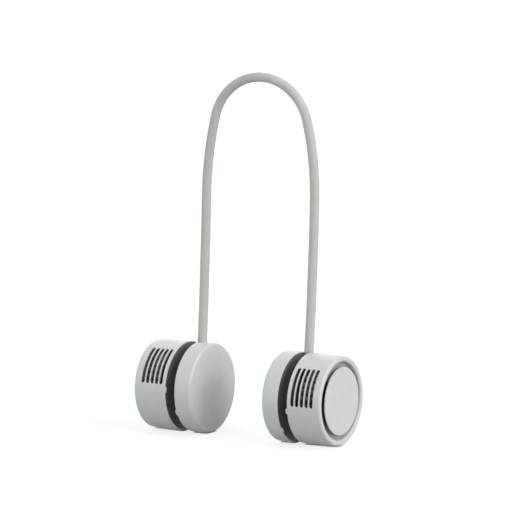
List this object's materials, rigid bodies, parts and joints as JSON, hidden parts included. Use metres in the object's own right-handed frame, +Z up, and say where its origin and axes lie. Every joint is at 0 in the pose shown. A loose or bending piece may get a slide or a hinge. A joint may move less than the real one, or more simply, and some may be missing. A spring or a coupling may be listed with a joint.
{
  "type": "neck fan",
  "caption": "Neck fan worn round the neck: a bendable neckband carries round blower pods whose slotted drums swivel to aim the air.",
  "frame": {"origin": "underside of the neckband at the middle of its crown, where it rests on the neck", "axes": "+Z up, +X from one pod to the other, to the right as the slots are seen from the front, +Y to the back"},
  "size_m": [0.1542, 0.0658, 0.2612],
  "materials": {
    "shell_plastic": "fine matte moulded plastic, pale grey",
    "dark_plastic": "matte moulded plastic, charcoal",
    "ring_plastic": "moulded plastic, mid grey",
    "inner_plastic": "moulded plastic, black",
    "neck_silicone": "soft matte silicone, warm grey",
    "impeller_plastic": "moulded plastic, warm grey",
    "button_plastic": "fine matte moulded plastic, pale grey",
    "seal_rubber": "black rubber",
    "cable_jacket": "black flexible jacket",
    "steel": "plain steel",
    "bush_brass": "sintered brass",
    "copper_wire": "enamelled copper",
    "magnet": "dark sintered magnet",
    "circuit_board": "green laminate",
    "battery_foil": "silver foil pouch",
    "clear_plastic": "frosted clear plastic"
  },
  "bodies": {
    "neckband": {"neck_sleeve": "neck_silicone", "memory_wire": "steel", "power_cable": "cable_jacket", "left_puck_shell": "shell_plastic", "left_puck_plate": "dark_plastic", "left_waist_hub": "dark_plastic", "left_friction_ring": "seal_rubber", "left_swivel_retainer": "inner_plastic", "left_swivel_screws": "steel", "left_battery_cell": "battery_foil", "right_puck_shell": "shell_plastic", "right_puck_plate": "dark_plastic", "right_waist_hub": "dark_plastic", "right_friction_ring": "seal_rubber", "right_swivel_retainer": "inner_plastic", "right_swivel_screws": "steel", "right_battery_cell": "battery_foil", "right_control_board": "circuit_board", "right_charge_port": "steel", "right_port_tongue": "inner_plastic", "right_tact_switch": "inner_plastic", "right_light_guide": "clear_plastic"},
    "left_drum": {"left_drum_shell": "shell_plastic", "left_drum_plate": "dark_plastic", "left_inlet_ring": "ring_plastic", "left_inlet_cap": "shell_plastic", "left_scroll_insert": "inner_plastic", "left_motor_mount": "inner_plastic", "left_mount_screws": "steel", "left_motor_board": "circuit_board", "left_bearing_bush": "bush_brass", "left_stator_core": "steel", "left_stator_coils": "copper_wire"},
    "left_rotor": {"left_motor_shaft": "steel", "left_magnet_ring": "magnet", "left_rotor_can": "steel", "left_impeller": "impeller_plastic"},
    "right_drum": {"right_drum_shell": "shell_plastic", "right_drum_plate": "dark_plastic", "right_inlet_ring": "ring_plastic", "right_inlet_cap": "shell_plastic", "right_scroll_insert": "inner_plastic", "right_motor_mount": "inner_plastic", "right_mount_screws": "steel", "right_motor_board": "circuit_board", "right_bearing_bush": "bush_brass", "right_stator_core": "steel", "right_stator_coils": "copper_wire"},
    "right_rotor": {"right_motor_shaft": "steel", "right_magnet_ring": "magnet", "right_rotor_can": "steel", "right_impeller": "impeller_plastic"},
    "power_button": {"right_power_button": "button_plastic"}
  },
  "joints": [
    {"name": "left_drum_swivel", "type": "hinge", "parent": "neckband", "child": "left_drum", "pos_m": [-0.0636, -0.018, -0.2219], "axis": [-1, 0, 0], "range_deg": [-41, 49]},
    {"name": "left_rotor_spin", "type": "hinge", "parent": "left_drum", "child": "left_rotor", "pos_m": [-0.0636, -0.018, -0.2219], "axis": [-1, 0, 0], "continuous": true},
    {"name": "right_drum_swivel", "type": "hinge", "parent": "neckband", "child": "right_drum", "pos_m": [0.0636, -0.018, -0.2219], "axis": [-1, 0, 0], "range_deg": [-29.5, 60.5]},
    {"name": "right_rotor_spin", "type": "hinge", "parent": "right_drum", "child": "right_rotor", "pos_m": [0.0636, -0.018, -0.2219], "axis": [-1, 0, 0], "continuous": true},
    {"name": "power_button_press", "type": "slide", "parent": "neckband", "child": "power_button", "axis": [0, -1, 0], "range_m": [0, 0.0005], "stiffness_N_per_m": 300}
  ]
}
